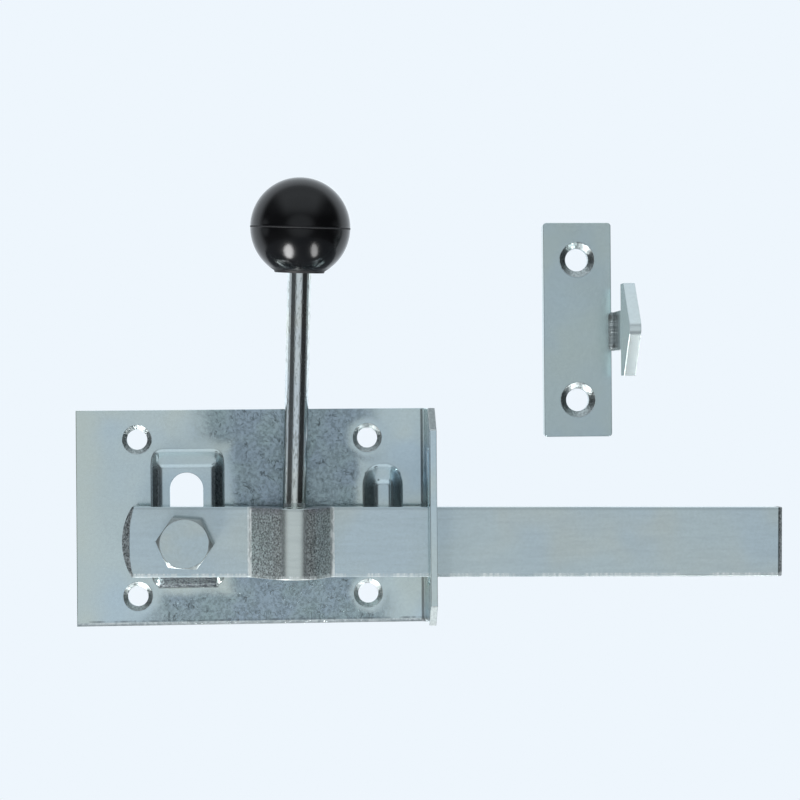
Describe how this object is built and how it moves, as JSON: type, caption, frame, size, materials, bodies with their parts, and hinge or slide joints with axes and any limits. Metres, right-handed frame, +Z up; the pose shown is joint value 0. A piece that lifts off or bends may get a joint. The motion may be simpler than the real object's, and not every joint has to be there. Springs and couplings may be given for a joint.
{
  "type": "gate latch",
  "caption": "Zinc-plated gate latch: pressed base plate with a windowed flange, a pivoting flat bar lifted by a ball-ended rod, and a separate keeper plate with a ramped hook.",
  "frame": {"origin": "centre of the base plate's four fixing holes, on the back face that lies on the gate", "axes": "+X along the bar towards its free end, +Z up, +Y into the gate; the front of the latch faces -Y"},
  "size_m": [0.3064, 0.0513, 0.1908],
  "materials": {
    "zinc_sheet": "pressed sheet steel, bright blue zinc plating",
    "zinc_bolt": "machined steel, bright zinc plating",
    "zinc_bar": "flat bar steel, bright blue zinc plating",
    "zinc_rod": "drawn round steel, bright zinc plating",
    "weld_metal": "rough weld bead under zinc plating",
    "black_ball": "gloss black moulded plastic",
    "zinc_keeper": "flat steel, bright blue zinc plating"
  },
  "bodies": {
    "mount": {"base_plate": "zinc_sheet", "pivot_bolt": "zinc_bolt", "pivot_bush": "zinc_bolt", "pivot_nut": "zinc_bolt", "keeper_plate": "zinc_keeper", "keeper_hook": "zinc_keeper", "keeper_weld": "weld_metal"},
    "arm": {"latch_bar": "zinc_bar", "handle_rod": "zinc_rod", "rod_weld": "weld_metal", "ball_knob": "black_ball"}
  },
  "joints": [
    {"name": "bar_swing", "type": "hinge", "parent": "mount", "child": "arm", "pos_m": [-0.0282, 0, -0.0094], "axis": [0, -1, 0], "range_deg": [-1.8, 12.5]}
  ]
}
